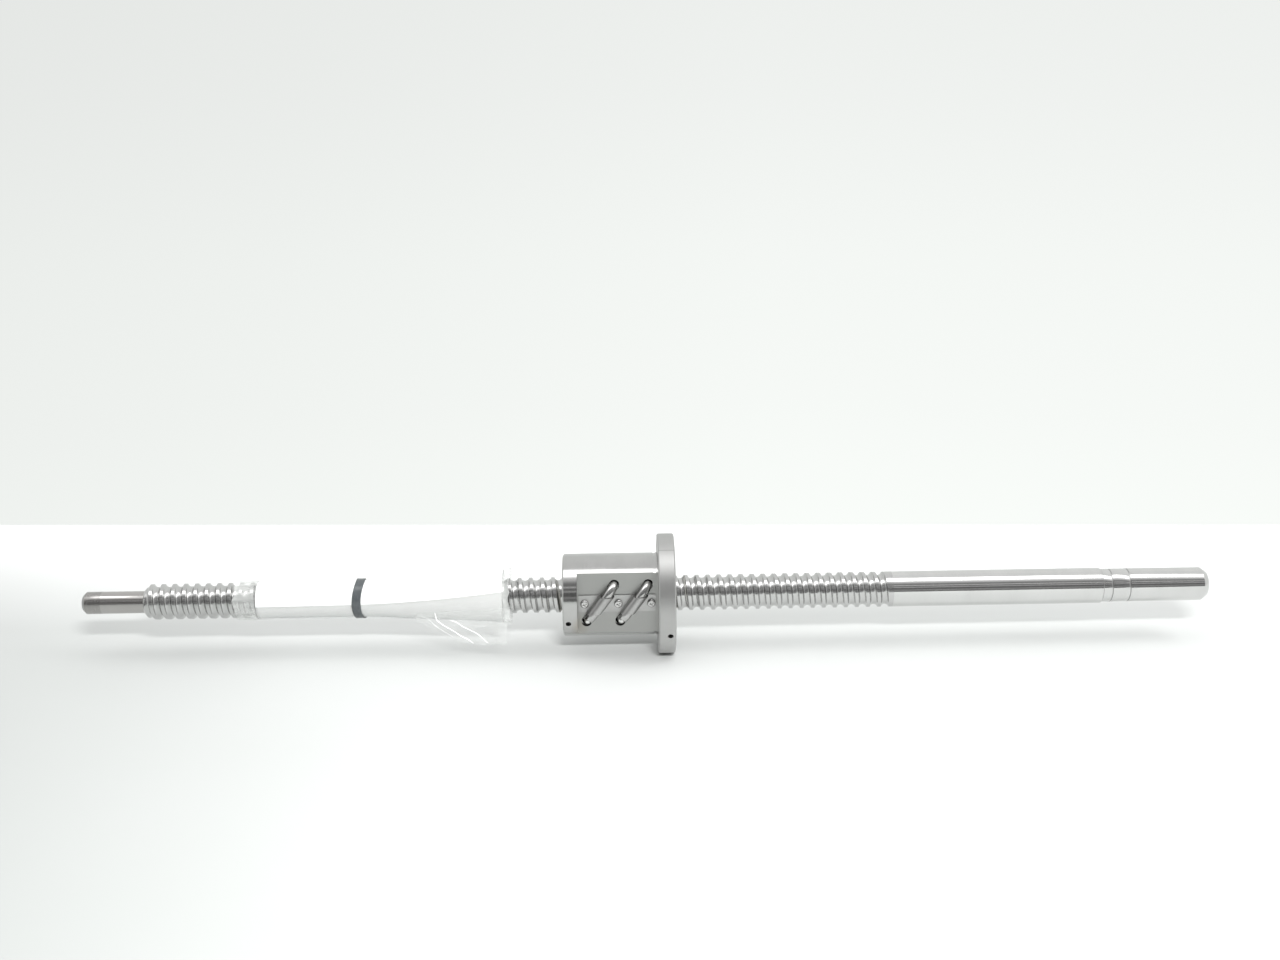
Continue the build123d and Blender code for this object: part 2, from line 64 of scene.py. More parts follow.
# ------------------------------------------------------------------ node helpers
class Nodes:
    """Small helper that builds one Principled material."""

    def __init__(self, name):
        self.mat = bpy.data.materials.new(name)
        self.mat.use_nodes = True
        self.t = self.mat.node_tree
        for n in list(self.t.nodes):
            self.t.nodes.remove(n)
        self.out = self.t.nodes.new("ShaderNodeOutputMaterial")
        self.p = self.t.nodes.new("ShaderNodeBsdfPrincipled")
        self.t.links.new(self.p.outputs[0], self.out.inputs[0])
        self.coord = self.t.nodes.new("ShaderNodeTexCoord")

    def link(self, a, b):
        self.t.links.new(a, b)

    def set(self, **values):
        for k, v in values.items():
            self.p.inputs[k.replace("_", " ")].default_value = v

    def scaled(self, scale, source=None):
        m = self.t.nodes.new("ShaderNodeMapping")
        m.inputs["Scale"].default_value = scale
        self.link(source or self.coord.outputs["Object"], m.inputs["Vector"])
        return m.outputs["Vector"]

    def noise(self, vector, scale=1.0, detail=3.0, rough=0.5, distortion=0.0):
        n = self.t.nodes.new("ShaderNodeTexNoise")
        n.inputs["Scale"].default_value = scale
        n.inputs["Detail"].default_value = detail
        n.inputs["Roughness"].default_value = rough
        n.inputs["Distortion"].default_value = distortion
        self.link(vector, n.inputs["Vector"])
        return n.outputs["Fac"]

    def ramp(self, fac, stops):
        r = self.t.nodes.new("ShaderNodeValToRGB")
        e = r.color_ramp.elements
        while len(e) > 1:
            e.remove(e[-1])
        e[0].position, e[0].color = stops[0][0], stops[0][1]
        for pos, col in stops[1:]:
            x = e.new(pos)
            x.color = col
        self.link(fac, r.inputs["Fac"])
        return r.outputs["Color"]

    def map(self, fac, lo, hi, from_lo=0.0, from_hi=1.0):
        m = self.t.nodes.new("ShaderNodeMapRange")
        m.inputs["From Min"].default_value = from_lo
        m.inputs["From Max"].default_value = from_hi
        m.inputs["To Min"].default_value = lo
        m.inputs["To Max"].default_value = hi
        self.link(fac, m.inputs["Value"])
        return m.outputs["Result"]

    def math(self, op, a, b=None, c=None):
        m = self.t.nodes.new("ShaderNodeMath")
        m.operation = op
        for i, v in enumerate((a, b, c)):
            if v is None:
                continue
            if isinstance(v, (int, float)):
                m.inputs[i].default_value = v
            else:
                self.link(v, m.inputs[i])
        return m.outputs[0]

    def mix(self, fac, a, b):
        m = self.t.nodes.new("ShaderNodeMix")
        m.data_type = "RGBA"
        ins = [s for s in m.inputs if s.enabled]
        for s, v in zip(ins, (fac, a, b)):
            if isinstance(v, (int, float)):
                s.default_value = v
            elif isinstance(v, tuple):
                s.default_value = v
            else:
                self.link(v, s)
        return [o for o in m.outputs if o.enabled][0]

    def bump(self, height, strength, distance):
        b = self.t.nodes.new("ShaderNodeBump")
        b.inputs["Strength"].default_value = strength
        b.inputs["Distance"].default_value = distance
        self.link(height, b.inputs["Height"])
        self.link(b.outputs[0], self.p.inputs["Normal"])
        return b

    def xyz(self):
        s = self.t.nodes.new("ShaderNodeSeparateXYZ")
        self.link(self.coord.outputs["Object"], s.inputs[0])
        return s.outputs


def grey(v, tint=(1, 1, 1)):
    return (v * tint[0], v * tint[1], v * tint[2], 1.0)


def turned_steel(name, base=0.6, rough=(0.16, 0.26), lines=2600.0, bump=0.04, tint=(1.0, 1.0, 0.99), stain=0.08):
    """Steel ground or turned about the X axis: fine rings, and a few slow changes of tone."""
    m = Nodes(name)
    rings = m.noise(m.scaled((lines, 14.0, 14.0)), 1.0, 4.0, 0.6)
    broad = m.noise(m.scaled((60.0, 22.0, 22.0)), 1.0, 3.0, 0.5)
    spots = m.noise(m.scaled((420.0, 420.0, 420.0)), 1.0, 2.0, 0.5)
    tone = m.math("MULTIPLY_ADD", rings, 0.10, m.math("MULTIPLY_ADD", broad, stain * 2, 0.0))
    lo, hi = grey(base * 0.86, tint), grey(min(base * 1.10, 0.95), tint)
    m.link(m.ramp(tone, [(0.0, lo), (0.28, hi)]), m.p.inputs["Base Color"])
    r = m.math("ADD", m.map(rings, rough[0], rough[1], 0.3, 0.7), m.map(spots, -0.015, 0.03, 0.35, 0.7))
    m.link(r, m.p.inputs["Roughness"])
    m.set(Metallic=1.0)
    m.bump(rings, bump, 0.00002)
    return m


MATS = {}
MATS["thread"] = turned_steel("ground_thread_steel", 0.58, (0.14, 0.22), 1800.0, 0.05).mat
MATS["shank"] = turned_steel("ground_shank_steel", 0.67, (0.08, 0.13), 3800.0, 0.02).mat
MATS["journal"] = turned_steel("turned_journal_steel", 0.50, (0.09, 0.15), 2400.0, 0.04, (1.0, 0.975, 0.95)).mat
MATS["journal_end"] = turned_steel("turned_journal_end_steel", 0.40, (0.20, 0.28), 2000.0, 0.08, (1.0, 0.975, 0.95)).mat
MATS["chamfer"] = turned_steel("turned_chamfer_steel", 0.42, (0.30, 0.40), 3000.0, 0.16).mat


def nut_steel():
    """Satin ground steel of the nut: rings round the barrel, straight lay on the flat, a faint oil stain, and painted
    shade on the flat.
    """
    m = Nodes("nut_satin_steel")
    rings = m.noise(m.scaled((3000.0, 30.0, 30.0)), 1.0, 4.0, 0.6)
    lay = m.noise(m.scaled((24.0, 2200.0, 2200.0)), 1.0, 4.0, 0.6)
    broad = m.noise(m.scaled((38.0, 38.0, 38.0)), 1.0, 4.0, 0.55)
    x, y, z = m.xyz()
    # stain in the lower left corner of the flat
    dx = m.math("SUBTRACT", x, -0.0700)
    dz = m.math("SUBTRACT", z, -0.0215)
    d = m.math("SQRT", m.math("ADD", m.math("MULTIPLY", dx, dx), m.math("MULTIPLY", m.math("MULTIPLY", dz, dz), 0.35)))
    front = m.math("LESS_THAN", y, -0.0225)
    stain = m.math("MULTIPLY", m.math("MULTIPLY", m.map(d, 1.0, 0.0, 0.0, 0.0085), front), m.map(broad, 0.2, 0.9, 0.3, 0.7))
    base = m.ramp(m.math("MULTIPLY_ADD", rings, 0.35, m.math("MULTIPLY", broad, 0.65)),
                  [(0.25, grey(0.45, (1, 1, 0.985))), (0.75, grey(0.54, (1, 1, 0.985)))])
    base = m.mix(m.math("MULTIPLY", stain, 0.85), base, (0.33, 0.26, 0.14, 1))
    flat = m.math("COMPARE", y, -0.0244, 0.0003)
    # painted shade: the flat's colour is darkened for the dark room it faces; its higher roughness below is its own
    # finish
    base = m.mix(m.math("MULTIPLY", flat, 0.55), base, (0.33, 0.335, 0.32, 1))
    m.link(base, m.p.inputs["Base Color"])
    reach = m.math("SQRT", m.math("ADD", m.math("MULTIPLY", y, y), m.math("MULTIPLY", z, z)))
    flange = m.math("GREATER_THAN", reach, 0.0375)
    r = m.math("ADD", m.map(rings, 0.10, 0.17, 0.3, 0.7), m.map(broad, -0.02, 0.03, 0.3, 0.7))
    r = m.math("ADD", r, m.math("MULTIPLY", flat, 0.27))
    r = m.math("ADD", r, m.math("MULTIPLY", flange, 0.34))
    m.link(r, m.p.inputs["Roughness"])
    m.set(Metallic=1.0)
    m.bump(m.math("ADD", rings, m.math("MULTIPLY", lay, 0.6)), 0.10, 0.00002)
    return m.mat


def drawn_steel(name, base, rough, scale=900.0, bump=0.12, metallic=1.0):
    m = Nodes(name)
    a = m.noise(m.scaled((scale, scale, scale)), 1.0, 4.0, 0.6)
    b = m.noise(m.scaled((90.0, 90.0, 90.0)), 1.0, 3.0, 0.5)
    t = m.math("MULTIPLY_ADD", a, 0.4, m.math("MULTIPLY", b, 0.6))
    m.link(m.ramp(t, [(0.3, grey(base * 0.82, (1, 0.995, 0.98))), (0.7, grey(base * 1.08, (1, 0.995, 0.98)))]), m.p.inputs["Base Color"])
    m.link(m.map(t, rough[0], rough[1], 0.3, 0.7), m.p.inputs["Roughness"])
    m.set(Metallic=metallic)
    m.bump(a, bump, 0.00003)
    return m.mat


def plastic(name, colour, rough, scale=700.0, bump=0.1):
    m = Nodes(name)
    a = m.noise(m.scaled((scale, scale, scale)), 1.0, 4.0, 0.6)
    dark = tuple(c * 0.88 for c in colour) + (1.0,)
    m.link(m.ramp(a, [(0.35, dark), (0.65, tuple(colour) + (1.0,))]), m.p.inputs["Base Color"])
    m.link(m.map(a, rough * 0.9, rough * 1.15, 0.3, 0.7), m.p.inputs["Roughness"])
    m.bump(a, bump, 0.00003)
    return m.mat


def assign(node, mat):
    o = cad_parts[node]
    if not o.material_slots:
        o.data.materials.append(mat)
    for s in o.material_slots:
        s.material = mat


NUT = nut_steel()
assign("nut_body", NUT)
TUBE = drawn_steel("drawn_tube_steel", 0.54, (0.15, 0.25), 700.0, 0.08)
STRAP = drawn_steel("pressed_strap_steel", 0.50, (0.30, 0.42), 1200.0, 0.12)
PLATED = drawn_steel("plated_screw_steel", 0.58, (0.10, 0.18), 1400.0, 0.06)
BALL = drawn_steel("polished_ball_steel", 0.80, (0.05, 0.09), 1500.0, 0.01)
BLACK = drawn_steel("black_set_screw_steel", 0.05, (0.40, 0.55), 1200.0, 0.2)
for n in ("return_tube_1", "return_tube_2"):
    assign(n, TUBE)
assign("tube_clamp_strap", STRAP)
for n in ("clamp_screw_left", "clamp_screw_middle", "clamp_screw_right"):
    assign(n, PLATED)
for n in ("loaded_balls_1", "loaded_balls_2", "return_balls_1", "return_balls_2"):
    assign(n, BALL)
WIPER = plastic("moulded_wiper_plastic", (0.78, 0.77, 0.72), 0.5)
for n in ("wiper_left", "wiper_right"):
    assign(n, WIPER)
for n in ("wiper_set_screw_left", "wiper_set_screw_right"):
    assign(n, BLACK)


# ------------------------------------------------------------------ mesh helpers
def new_object(name, verts, faces, mats, mat_index=None, smooth=True):
    me = bpy.data.meshes.new(name)
    me.from_pydata([tuple(v) for v in verts], [], faces)
    me.validate()
    for m in mats:
        me.materials.append(m)
    if mat_index is not None:
        me.polygons.foreach_set("material_index", mat_index)
    me.polygons.foreach_set("use_smooth", [smooth] * len(me.polygons))
    me.update()
    o = bpy.data.objects.new(name, me)
    scene.collection.objects.link(o)
    return o


def tidy(o, dist=1e-6, sharp=None):
    bm = bmesh.new()
    bm.from_mesh(o.data)
    bmesh.ops.remove_doubles(bm, verts=bm.verts, dist=dist)
    bmesh.ops.dissolve_degenerate(bm, edges=bm.edges, dist=dist)
    bmesh.ops.recalc_face_normals(bm, faces=bm.faces)
    if sharp is not None:
        for e in bm.edges:
            if len(e.link_faces) == 2 and e.calc_face_angle(0) > sharp:
                e.smooth = False
    bm.to_mesh(o.data)
    bm.free()


# ------------------------------------------------------------------ screw shaft, finely meshed
LEAD = 10.0
R_TRACK, R_GROOVE, R_SCREW = 16.875, 3.55, 16.0
X_LEFT, X_SHOULDER, X_THREAD_END, X_SHANK_END, X_RIGHT = -516.0, -460.0, 207.0, 402.0, 498.0
SEG = 96
c_lead = LEAD / (2 * math.pi)
cos_a = R_TRACK / math.hypot(R_TRACK, c_lead)


def soft_min(a, b, k):
    h = max(k - abs(a - b), 0.0) / k
    return min(a, b) - h * h * k * 0.25


def thread_radius(x, phi):
    """Surface radius of the thread at axial position x and angle phi."""
    # turn of the groove nearest to this point
    base = 1.0 + c_lead * (phi - math.pi / 2)
    k = round((x - base) / LEAD)
    best = 1e9
    for j in (k - 1, k, k + 1):
        xh = base + j * LEAD
        if xh > X_THREAD_END + LEAD:
            continue
        ds = (x - xh) * cos_a
        along = (X_THREAD_END - xh) / (c_lead / math.hypot(R_TRACK, c_lead))
        foot = (x - xh) * (c_lead / math.hypot(R_TRACK, c_lead))
        if foot > along:
            d = math.hypot(ds, foot - along)
        else:
            d = abs(ds)
        best = min(best, d)
    if best >= R_GROOVE:
        return R_SCREW
    g = R_TRACK - math.sqrt(R_GROOVE * R_GROOVE - best * best)
    return soft_min(g, R_SCREW, 0.5)


def shoulder_radius(x):
    if x < X_SHOULDER + 4.3:
        return R_SCREW - 4.3 + (x - X_SHOULDER)
    return R_SCREW


def fine_screw():
    ts = [-5.0, -4.6, -4.2, -3.9, -3.65, -3.45, -3.25, -3.0, -2.6, -2.1, -1.5, -0.8, 0.0,
          0.8, 1.5, 2.1, 2.6, 3.0, 3.25, 3.45, 3.65, 3.9, 4.2, 4.6]
    T = len(ts)
    x_lo, x_hi = X_SHOULDER, 212.0
    first = math.floor((x_lo - 6 - 1) / LEAD)
    last = math.ceil((x_hi + 6 - 1) / LEAD) + 1
    total = (last - first) * SEG
    verts, faces, mats = [], [], []
    for i in range(total + 1 + SEG):
        phi = 2 * math.pi * (i % SEG) / SEG
        xh = 1.0 + first * LEAD + LEAD * i / SEG - LEAD * 0.25
        cp, sp = math.cos(phi), math.sin(phi)
        for t in ts:
            x = min(max(xh + t, x_lo), x_hi)
            r = min(thread_radius(x, phi), shoulder_radius(x))
            verts.append((x * MM, r * cp * MM, r * sp * MM))
    def vid(i, j):
        if j == T:
            return (i + SEG) * T
        return i * T + j
    for i in range(total):
        for j in range(T):
            q = [vid(i, j), vid(i, j + 1), vid(i + 1, j + 1), vid(i + 1, j)]
            xs = {round(verts[v][0], 7) for v in q}
            if len(xs) == 1 and (abs(verts[q[0]][0] - x_lo * MM) < 1e-9 or abs(verts[q[0]][0] - x_hi * MM) < 1e-9):
                continue
            faces.append(q)
            mats.append(0)

    def lathe(profile, index):
        """profile: list of (x, r) in mm, outward side."""
        start = len(verts)
        for x, r in profile:
            for i in range(SEG):
                phi = 2 * math.pi * i / SEG
                verts.append((x * MM, r * math.cos(phi) * MM, r * math.sin(phi) * MM))
        for a in range(len(profile) - 1):
            for i in range(SEG):
                k = (i + 1) % SEG
                faces.append([start + a * SEG + i, start + (a + 1) * SEG + i, start + (a + 1) * SEG + k, start + a * SEG + k])
                mats.append(index[a])

    # left journal: centre hole, chamfer, duller end, journal, shoulder face
    left = [(X_LEFT + 8.2, 0.02), (X_LEFT + 7.0, 2.0), (X_LEFT + 3.8, 2.0), (X_LEFT, 4.2), (X_LEFT, 4.35), (X_LEFT, 6.85), (X_LEFT + 0.12, 7.12),
            (X_LEFT + 2.88, 9.88), (X_LEFT + 3.12, 10.0), (X_LEFT + 16.6, 10.0), (X_LEFT + 17.0, 9.97), (X_LEFT + 17.3, 10.0),
            (X_SHOULDER - 0.5, 10.0), (X_SHOULDER - 0.12, 10.12), (X_SHOULDER, 10.5), (X_SHOULDER, 11.7)]
    lathe(left, [4, 4, 4, 4, 4, 4, 4, 3, 3, 3, 2, 2, 2, 4, 4])
    g1, g2, w, d = 410.0, 426.0, 0.5, 0.3
    rightp = [(212.0, 16.0), (250.0, 16.0), (300.0, 16.0), (350.0, 16.0), (401.0, 16.0), (401.25, 15.97), (401.95, 15.25), (402.05, 15.03), (402.4, 15.0),
              (g1 - w - 0.15, 15.0), (g1 - w, 14.9), (g1 - w, 15 - d), (g1 + w, 15 - d), (g1 + w, 14.9), (g1 + w + 0.15, 15.0),
              (g2 - w - 0.15, 15.0), (g2 - w, 14.9), (g2 - w, 15 - d), (g2 + w, 15 - d), (g2 + w, 14.9), (g2 + w + 0.15, 15.0),
              (460.0, 15.0), (492.75, 15.0), (493.2, 14.88), (497.75, 11.68), (X_RIGHT, 11.4), (X_RIGHT, 4.35), (X_RIGHT, 4.2), (X_RIGHT - 3.8, 2.0), (X_RIGHT - 7.0, 2.0), (X_RIGHT - 8.2, 0.02)]
    idx = []
    for a in range(len(rightp) - 1):
        x = rightp[a][0]
        if a in (5, 6):
            idx.append(4)
        elif x >= 497.5:
            idx.append(4)
        elif a in (10, 11, 12, 16, 17, 18):
            idx.append(4)
        else:
            idx.append(1)
    lathe(rightp, idx)
    o = new_object("screw_shaft_fine", verts, faces,
                   [MATS["thread"], MATS["shank"], MATS["journal"], MATS["journal_end"], MATS["chamfer"]], mats)
    tidy(o, 2e-6, math.radians(38))
    return o


screw = fine_screw()
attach(screw, "screw")
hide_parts("screw_shaft")


# ------------------------------------------------------------------ paper, film and band
def paper_material(name, tone, shade, under=None):
    m = Nodes(name)
    fibre = m.noise(m.scaled((900.0, 900.0, 900.0)), 1.0, 5.0, 0.65)
    soft = m.noise(m.scaled((30.0, 45.0, 45.0)), 1.0, 3.0, 0.5)
    t = m.math("MULTIPLY_ADD", fibre, 0.35, m.math("MULTIPLY", soft, 0.65))
    colour = m.ramp(t, [(0.25, grey(tone * shade, (0.99, 1.0, 1.0))), (0.75, grey(tone, (0.995, 1.0, 1.0)))])
    if under is not None:
        # the layer that runs in under the free edge: painted shade, darkest just under the edge and fading round the
        # underside
        x, y, z = m.xyz()
        angle = m.math("ARCTAN2", z, m.math("MULTIPLY", y, -1.0))
        colour = m.mix(m.map(angle, 0.0, 1.0, -2.5, 0.40), colour, grey(under, (0.99, 1.0, 0.985)))
    m.link(colour, m.p.inputs["Base Color"])
    m.set(Roughness=0.75)
    m.p.inputs["Specular IOR Level"].default_value = 0.3
    m.p.inputs["Subsurface Weight"].default_value = 0.0
    m.bump(m.math("MULTIPLY_ADD", fibre, 0.3, soft), 0.25, 0.00015)
    return m.mat


PAPER = paper_material("white_paper", 0.93, 0.95)
# paper with painted shade, for the turn under the roll's free edge
PAPER_SHADED_UNDER_EDGE = paper_material("white_paper_painted_shade_under_edge", 0.93, 0.95, under=0.46)


def film_material(name, alpha_lo, alpha_hi, tint=(0.74, 0.76, 0.74), peak=(0.84, 0.86, 0.84, 1), ends=0.22):
    """Thin clear film: mostly see-through, with milky patches where it is creased."""
    m = Nodes(name)
    crease = m.noise(m.scaled((34.0, 70.0, 70.0)), 1.0, 2.5, 0.45, 0.5)
    streak = m.noise(m.scaled((12.0, 190.0, 190.0)), 1.0, 2.0, 0.45)
    f = m.math("MULTIPLY_ADD", streak, 0.35, m.math("MULTIPLY", crease, 0.65))
    m.link(m.ramp(f, [(0.35, tuple(c * 0.92 for c in tint) + (1,)), (0.62, peak)]), m.p.inputs["Base Color"])
    # the empty ends beyond the sheet are creased all over, so they are milkier
    x = m.xyz()[0]
    end = m.math("ADD", m.map(x, ends, 0.0, -0.3606, -0.3580), m.map(x, 0.0, ends, -0.1400, -0.1380))
    m.link(m.math("ADD", m.map(f, alpha_lo, alpha_hi, 0.40, 0.66), end), m.p.inputs["Alpha"])
    m.link(m.map(crease, 0.10, 0.24, 0.3, 0.7), m.p.inputs["Roughness"])
    m.p.inputs["IOR"].default_value = 1.49
    m.p.inputs["Specular IOR Level"].default_value = 0.6
    m.p.inputs["Coat Weight"].default_value = 0.5
    m.p.inputs["Coat Roughness"].default_value = 0.08
    m.bump(m.math("MULTIPLY_ADD", crease, 1.0, m.math("MULTIPLY", streak, 0.25)), 0.35, 0.0004)
    return m.mat


FILM = film_material("clear_film", 0.05, 0.20)
# painted shade: the hanging tail is a darker copy of the bag film, creased like it
FILM_TAIL_PAINTED_SHADE = film_material("clear_film_creased_painted_shade", 0.08, 0.22, (0.60, 0.62, 0.60), (0.70, 0.72, 0.70, 1), ends=0.0)
FILM_FOLD = film_material("clear_film_folded", 0.60, 0.90, (0.95, 0.96, 0.95), (0.98, 0.98, 0.98, 1), ends=0.0)


def rubber():
    m = Nodes("black_band_rubber")
    a = m.noise(m.scaled((1600.0, 260.0, 260.0)), 1.0, 4.0, 0.6)
    m.link(m.ramp(a, [(0.3, (0.050, 0.057, 0.061, 1)), (0.7, (0.090, 0.100, 0.105, 1))]), m.p.inputs["Base Color"])
    m.link(m.map(a, 0.17, 0.26, 0.3, 0.7), m.p.inputs["Roughness"])
    m.bump(a, 0.3, 0.00004)
    return m.mat


RUBBER = rubber()
X_SHEET0, X_BAND, X_SHEET1 = -359.0, -269.4, -139.0
X_BAG0, X_BAG1 = -378.0, -132.0


def flare(x, tight=16.75, mouth=24.0):
    """Outside radius of the paper roll along its length, mm."""
    if x <= X_BAND + 8:
        u = abs(x - X_BAND) / 30.0
        return tight + 0.12 * min(u, 1.0)
    f = (x - X_BAND - 8) / (X_SHEET1 - X_BAND - 8)
    return tight + (mouth - tight) * (0.82 * f + 0.18 * f * f)


def edge_angle(x):
    """Angle of the roll's free edge, from -Y towards +Z, radians."""
    f = min(max((x - X_SHEET0) / (X_SHEET1 - X_SHEET0), 0.0), 1.0)
    g = max((x - X_BAND) / (X_SHEET1 - X_BAND), 0.0)
    return math.radians(-4.0 + 4.0 * f + 27.0 * g ** 1.25)


def front_point(x, r, b):
    """Point at radius r and angle b from -Y towards +Z."""
    return (x * MM, -r * math.cos(b) * MM, r * math.sin(b) * MM)


def paper_roll():
    """One sheet rolled into a little over two turns, with a flared mouth and a free edge on the front."""
    nx, na, turns = 90, 200, 2.15
    verts, faces, mi = [], [], []
    for i in range(nx + 1):
        x = X_SHEET0 + (X_SHEET1 - X_SHEET0) * i / nx
        e = edge_angle(x)
        ro = flare(x)
        for j in range(na + 1):
            s = turns * j / na          # turns back from the free edge
            b = e + 2 * math.pi * s     # goes up and over the top first
            gap = 0.30 * s
            if s < 0.035:               # the free edge stands off a little
                gap -= (0.035 - s) * 9.0 * (0.5 + 0.5 * math.sin(x * 0.05))
            wob = noise.noise(Vector((x * 0.03, math.cos(b) * 1.4, math.sin(b) * 1.4 + 0.1 * s))) * 0.16
            if x > X_BAND + 12:
                wob *= 1.0 + (x - X_BAND) / 60.0
            r = max(ro - gap + wob * (0.3 if abs(x - X_BAND) < 8 else 1.0), 16.3)
            verts.append(front_point(x, r, b))
    for i in range(nx):
        for j in range(na):
            a = i * (na + 1) + j
            faces.append([a, a + 1, a + na + 2, a + na + 1])
            # the turn just under the free edge gets the paper with painted shade
            mi.append(1 if 0.56 < (j + 0.5) / na * turns < 1.03 else 0)
    o = new_object("inspection_sheet_roll", verts, faces, [PAPER, PAPER_SHADED_UNDER_EDGE], mi)
    s = o.modifiers.new("thickness", "SOLIDIFY")
    s.thickness = 0.00010
    s.offset = 0.0
    return o


sheet = paper_roll()
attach(sheet, "wrap")
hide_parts("inspection_sheet")


def band_piece():
    """Elastic band, pulled tight, edges a little rolled."""
    verts, faces = [], []
    prof = [(-4.05, 0.10), (-3.95, 0.62), (-3.6, 0.86), (-2.4, 0.80), (0.0, 0.74), (2.4, 0.80), (3.6, 0.86), (3.95, 0.62), (4.05, 0.10), (3.6, 0.0), (-3.6, 0.0)]
    n = 128
    for i in range(n):
        b = 2 * math.pi * i / n
        w = 0.10 * math.sin(3 * b) + 0.06 * math.sin(7 * b + 1)
        for dx, dr in prof:
            verts.append(front_point(X_BAND + dx + 2.4 * math.sin(b) ** 2 + 0.3 * math.sin(b + 0.4), 17.2 + dr + 0.05 * w, b))
    m = len(prof)
    for i in range(n):
        k = (i + 1) % n
        for j in range(m):
            l = (j + 1) % m
            faces.append([i * m + j, i * m + l, k * m + l, k * m + j])
    o = new_object("retaining_band_elastic", verts, faces, [RUBBER])
    tidy(o, 1e-7)
    return o


band = band_piece()
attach(band, "wrap")
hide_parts("retaining_band")


def film_radius(x, b):
    """Film over the roll: tight at the band, loose and wrinkled elsewhere."""
    if x < X_SHEET0:
        f = (X_SHEET0 - x) / (X_SHEET0 - X_BAG0)
        r = 17.2 - 0.35 * f
    elif x > X_SHEET1:
        f = (x - X_SHEET1) / (X_BAG1 - X_SHEET1)
        r = flare(X_SHEET1) + 0.5 + 0.4 * f
    else:
        r = flare(x) + 0.35
    loose = min(abs(x - X_BAND) / 14.0, 1.0)
    n1 = noise.noise(Vector((x * 0.035, math.cos(b) * 2.6, math.sin(b) * 2.6)))
    n2 = noise.noise(Vector((x * 0.11 + 7.0, math.cos(b) * 5.0, math.sin(b) * 5.0)))
    n3 = 1.0 - abs(noise.noise(Vector((x * 0.05 + 3.0, math.cos(b) * 3.2 + 5, math.sin(b) * 3.2)))) * 2.0
    w = 0.35 * n1 + 0.22 * n2 + 0.35 * max(n3, 0.0) ** 3
    if x < X_SHEET0 + 6:
        w *= 1.6
    floor = 16.35 if x < X_SHEET0 else flare(min(x, X_SHEET1)) + 0.16 + 0.0046 * max(min(x, X_SHEET1) - X_BAND - 6, 0.0)
    return max(r + w * loose * 0.9 + 0.2 * loose, floor)


def film_tube():
    nx, na = 200, 180
    verts, faces = [], []
    for i in range(nx + 1):
        u = i / nx
        for j in range(na):
            b = 2 * math.pi * j / na
            x = X_BAG0 + (X_BAG1 - X_BAG0) * u
            # ragged open ends
            if u < 0.04:
                x += (1 - u / 0.04) * (2.6 * noise.noise(Vector((3.1, math.cos(b) * 2, math.sin(b) * 2))) - 0.5)
            if u > 0.97:
                x -= ((u - 0.97) / 0.03) * (2.2 * abs(noise.noise(Vector((9.1, math.cos(b) * 2.5, math.sin(b) * 2.5)))))
            verts.append(front_point(x, film_radius(x, b), b))
    for i in range(nx):
        for j in range(na):
            k = (j + 1) % na
            faces.append([i * na + j, i * na + k, (i + 1) * na + k, (i + 1) * na + j])
    o = new_object("film_bag_sleeve", verts, faces, [FILM])
    return o


film = film_tube()
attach(film, "wrap")
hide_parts("film_bag")


